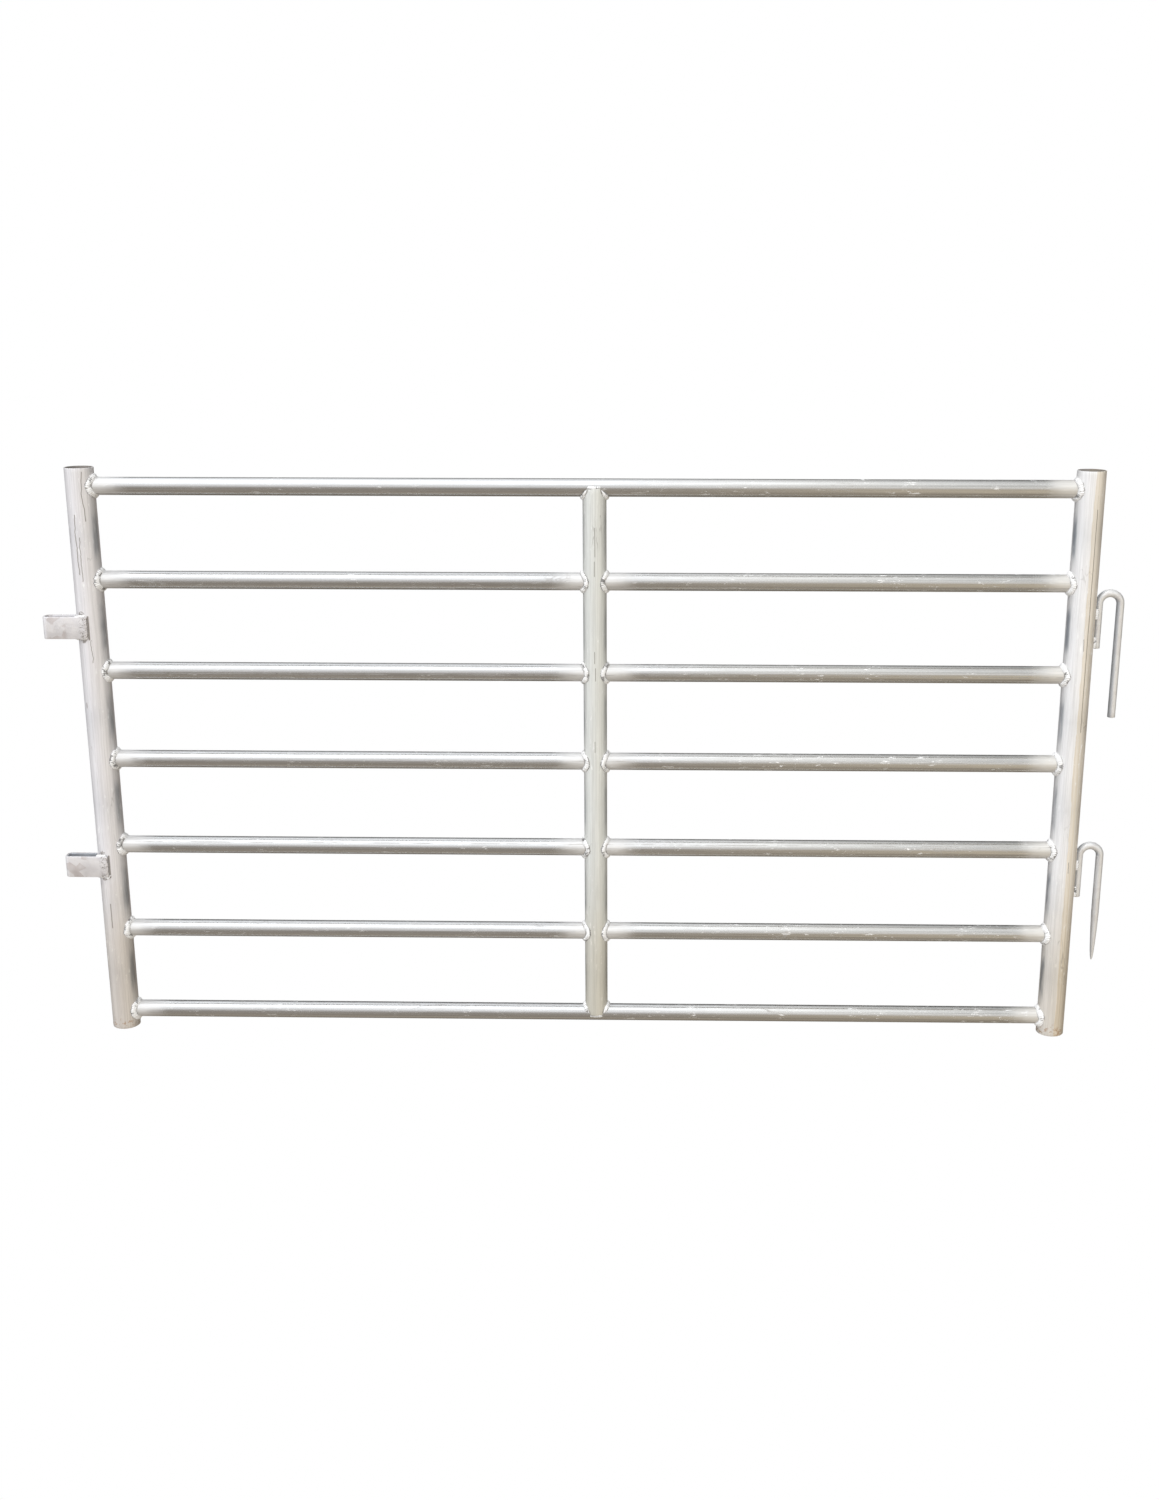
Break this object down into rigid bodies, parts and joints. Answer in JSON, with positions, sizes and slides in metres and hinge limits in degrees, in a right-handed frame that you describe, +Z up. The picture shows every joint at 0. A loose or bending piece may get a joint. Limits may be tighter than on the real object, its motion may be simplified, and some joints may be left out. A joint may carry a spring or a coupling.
{
  "type": "livestock panel gate",
  "caption": "Welded galvanised tube livestock panel with round rails between two end posts and a centre stay, strap loops at one end and drop-in rod hooks at the other.",
  "frame": {"origin": "on the ground, in the middle of the panel's outer box", "axes": "+X along the panel from the loops towards the hooks, +Y away from the face that the loops stand out of, +Z up"},
  "size_m": [1.9354, 0.056, 1.067],
  "materials": {
    "post_tube": "pre-galvanised tube, semi-bright zinc with scuffs, matt zinc paint near the welds",
    "stay_tube": "galvanised tube, mostly covered with matt zinc paint",
    "rail_tube": "pre-galvanised tube, semi-bright zinc with drawing lines, matt zinc paint near the welds",
    "fittings": "mild steel strap and rod under matt zinc paint",
    "weld": "rippled weld bead under bright zinc paint"
  },
  "bodies": {
    "root": {"bottom_rail": "rail_tube", "centre_stay": "stay_tube", "left_end_post": "post_tube", "lower_hook": "fittings", "lower_loop": "fittings", "rail_2_left": "rail_tube", "rail_2_right": "rail_tube", "rail_3_left": "rail_tube", "rail_3_right": "rail_tube", "rail_4_left": "rail_tube", "rail_4_right": "rail_tube", "rail_5_left": "rail_tube", "rail_5_right": "rail_tube", "rail_6_left": "rail_tube", "rail_6_right": "rail_tube", "right_end_post": "post_tube", "top_rail": "rail_tube", "upper_hook": "fittings", "upper_loop": "fittings", "weld_lower_hook_1_back": "weld", "weld_lower_hook_1_front": "weld", "weld_lower_hook_2_back": "weld", "weld_lower_hook_2_front": "weld", "weld_lower_loop_back": "weld", "weld_lower_loop_bottom": "weld", "weld_lower_loop_top": "weld", "weld_rail_1_left_post": "weld", "weld_rail_1_right_post": "weld", "weld_rail_2_left_post": "weld", "weld_rail_2_right_post": "weld", "weld_rail_2_stay_left": "weld", "weld_rail_2_stay_right": "weld", "weld_rail_3_left_post": "weld", "weld_rail_3_right_post": "weld", "weld_rail_3_stay_left": "weld", "weld_rail_3_stay_right": "weld", "weld_rail_4_left_post": "weld", "weld_rail_4_right_post": "weld", "weld_rail_4_stay_left": "weld", "weld_rail_4_stay_right": "weld", "weld_rail_5_left_post": "weld", "weld_rail_5_right_post": "weld", "weld_rail_5_stay_left": "weld", "weld_rail_5_stay_right": "weld", "weld_rail_6_left_post": "weld", "weld_rail_6_right_post": "weld", "weld_rail_6_stay_left": "weld", "weld_rail_6_stay_right": "weld", "weld_rail_7_left_post": "weld", "weld_rail_7_right_post": "weld", "weld_stay_bottom": "weld", "weld_stay_top": "weld", "weld_upper_hook_1_back": "weld", "weld_upper_hook_1_front": "weld", "weld_upper_hook_2_back": "weld", "weld_upper_hook_2_front": "weld", "weld_upper_loop_back": "weld", "weld_upper_loop_bottom": "weld", "weld_upper_loop_top": "weld"}
  },
  "joints": []
}
